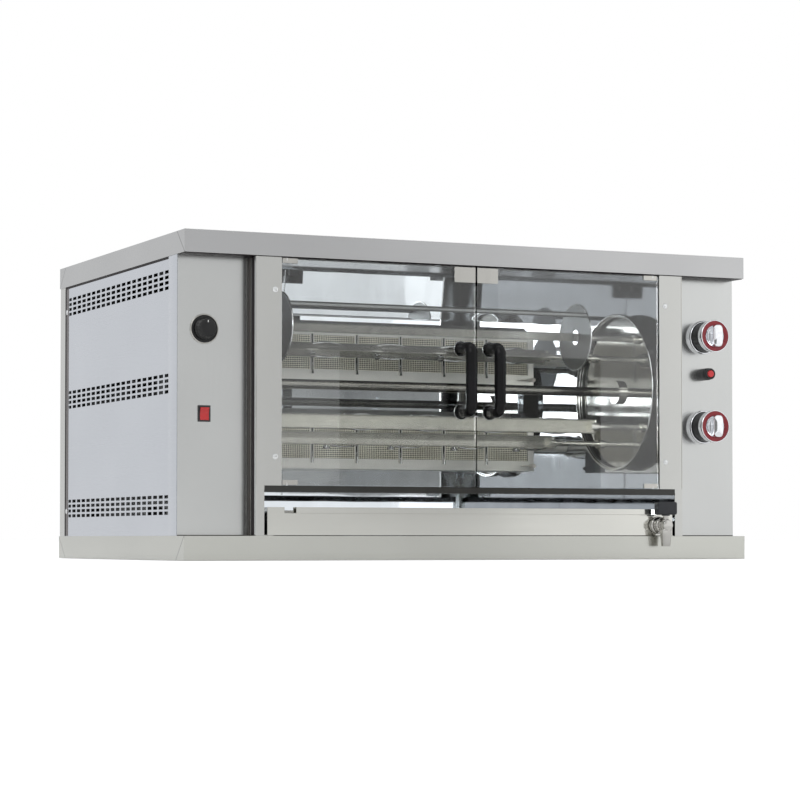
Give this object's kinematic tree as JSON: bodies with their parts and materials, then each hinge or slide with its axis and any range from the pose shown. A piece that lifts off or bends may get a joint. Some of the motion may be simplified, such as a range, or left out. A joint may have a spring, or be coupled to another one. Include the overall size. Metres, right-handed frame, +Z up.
{
  "type": "chicken rotisserie",
  "caption": "Stainless gas chicken rotisserie with glass doors, a planetary spit rotor, ceramic burners and a drip-tray drawer with a drain tap.",
  "frame": {"origin": "centre of the base pan's footprint, on the surface that the cabinet stands on", "axes": "+X to the right seen from the front, +Y to the back, +Z up; the doors face -Y"},
  "size_m": [1.18, 0.834, 0.6],
  "materials": {
    "steel": "satin",
    "polished_steel": "polished",
    "bright_steel": "polished",
    "dark_steel": "satin",
    "black_enamel": "gloss",
    "black_plastic": "satin",
    "door_glass": "clear",
    "tap_chrome": "gloss",
    "bearing_brass": "satin",
    "gear_steel": "machined",
    "plaque_ceramic": "matte",
    "electrode_ceramic": "gloss",
    "valve_brass": "satin",
    "pipe_aluminium": "satin",
    "red_plastic": "gloss",
    "motor_paint": "satin"
  },
  "bodies": {
    "cabinet": {"base_pan": "steel", "top_cap": "steel", "left_side_cover": "steel", "right_side_cover": "steel", "rear_cover": "steel", "left_control_panel": "steel", "right_control_panel": "steel", "left_partition": "polished_steel", "right_partition": "polished_steel", "rear_wall": "polished_steel", "door_stiles": "steel", "sill_rail": "black_enamel", "lintel": "steel", "pivot_pins": "bright_steel", "catch_magnets": "black_plastic", "tray_runners": "steel", "shaft_bearings": "bearing_brass", "sun_gear": "gear_steel", "burner_housings": "polished_steel", "burner_plaques": "plaque_ceramic", "burner_hoods": "polished_steel", "spark_electrodes": "electrode_ceramic", "gas_valves": "valve_brass", "gas_pipework": "pipe_aluminium", "knob_bezels": "tap_chrome", "speed_controller": "black_plastic", "switch_frame": "black_plastic", "igniter_body": "black_plastic", "gearmotor": "motor_paint", "power_inlet": "black_plastic", "panel_screws": "bright_steel"},
    "left_door": {"left_glass": "door_glass", "left_handle": "black_plastic", "left_door_fittings": "dark_steel"},
    "right_door": {"right_glass": "door_glass", "right_handle": "black_plastic", "right_door_fittings": "dark_steel"},
    "tray": {"drip_tray": "steel", "drain_tap": "tap_chrome"},
    "tap_handle": {"tap_lever": "black_plastic"},
    "rotor": {"rotor_shaft": "bright_steel", "left_wheel": "polished_steel", "right_wheel": "polished_steel"},
    "spit_unit_1": {"planet_gear_1": "gear_steel", "spit_1": "bright_steel", "spit_discs": "bright_steel"},
    "spit_unit_2": {"planet_gear_2": "gear_steel", "spit_2": "bright_steel", "forks_2": "bright_steel"},
    "spit_unit_3": {"planet_gear_3": "gear_steel", "spit_3": "bright_steel", "forks_3": "bright_steel"},
    "spit_unit_4": {"planet_gear_4": "gear_steel", "spit_4": "bright_steel", "forks_4": "bright_steel"},
    "upper_gas_knob": {"gas_knob_upper": "tap_chrome"},
    "lower_gas_knob": {"gas_knob_lower": "tap_chrome"},
    "dial": {"speed_dial": "black_plastic"},
    "switch_rocker": {"rocker": "red_plastic"},
    "ignition_button": {"igniter_button": "red_plastic"}
  },
  "joints": [
    {"name": "left_door_swing", "type": "hinge", "parent": "cabinet", "child": "left_door", "pos_m": [-0.387, -0.3735, 0.34], "axis": [0, 0, -1], "range_deg": [0, 110]},
    {"name": "right_door_swing", "type": "hinge", "parent": "cabinet", "child": "right_door", "pos_m": [0.387, -0.3735, 0.34], "axis": [0, 0, 1], "range_deg": [0, 110]},
    {"name": "tray_slide", "type": "slide", "parent": "cabinet", "child": "tray", "axis": [0, -1, 0], "range_m": [0, 0.36]},
    {"name": "tap_turn", "type": "hinge", "parent": "tray", "child": "tap_handle", "pos_m": [0.395, -0.409, 0.09], "axis": [0, 0, 1], "range_deg": [0, 90]},
    {"name": "rotor_spin", "type": "hinge", "parent": "cabinet", "child": "rotor", "pos_m": [0, -0.163, 0.3385], "axis": [1, 0, 0], "continuous": true},
    {"name": "spit_1_spin", "type": "hinge", "parent": "rotor", "child": "spit_unit_1", "pos_m": [0, -0.23914, 0.44139], "axis": [1, 0, 0], "continuous": true},
    {"name": "spit_2_spin", "type": "hinge", "parent": "rotor", "child": "spit_unit_2", "pos_m": [0, -0.26589, 0.26236], "axis": [1, 0, 0], "continuous": true},
    {"name": "spit_3_spin", "type": "hinge", "parent": "rotor", "child": "spit_unit_3", "pos_m": [0, -0.08686, 0.23561], "axis": [1, 0, 0], "continuous": true},
    {"name": "spit_4_spin", "type": "hinge", "parent": "rotor", "child": "spit_unit_4", "pos_m": [0, -0.06011, 0.41464], "axis": [1, 0, 0], "continuous": true},
    {"name": "upper_gas_turn", "type": "hinge", "parent": "cabinet", "child": "upper_gas_knob", "pos_m": [0.519, -0.36, 0.441], "axis": [0, -1, 0], "range_deg": [0, 180]},
    {"name": "lower_gas_turn", "type": "hinge", "parent": "cabinet", "child": "lower_gas_knob", "pos_m": [0.519, -0.36, 0.262], "axis": [0, -1, 0], "range_deg": [0, 180]},
    {"name": "dial_turn", "type": "hinge", "parent": "cabinet", "child": "dial", "pos_m": [-0.537, -0.355, 0.423], "axis": [0, 1, 0], "range_deg": [0, 270]},
    {"name": "switch_tip", "type": "hinge", "parent": "cabinet", "child": "switch_rocker", "pos_m": [-0.537, -0.3442, 0.268], "axis": [-1, 0, 0], "range_deg": [0, 16]},
    {"name": "igniter_press", "type": "slide", "parent": "cabinet", "child": "ignition_button", "axis": [0, 1, 0], "range_m": [0, 0.008], "stiffness_N_per_m": 900, "springref_m": -0.004}
  ],
  "couplings": [
    {"joint": "spit_1_spin", "follows": "rotor_spin", "ratio": 3},
    {"joint": "spit_2_spin", "follows": "rotor_spin", "ratio": 3},
    {"joint": "spit_3_spin", "follows": "rotor_spin", "ratio": 3},
    {"joint": "spit_4_spin", "follows": "rotor_spin", "ratio": 3}
  ]
}
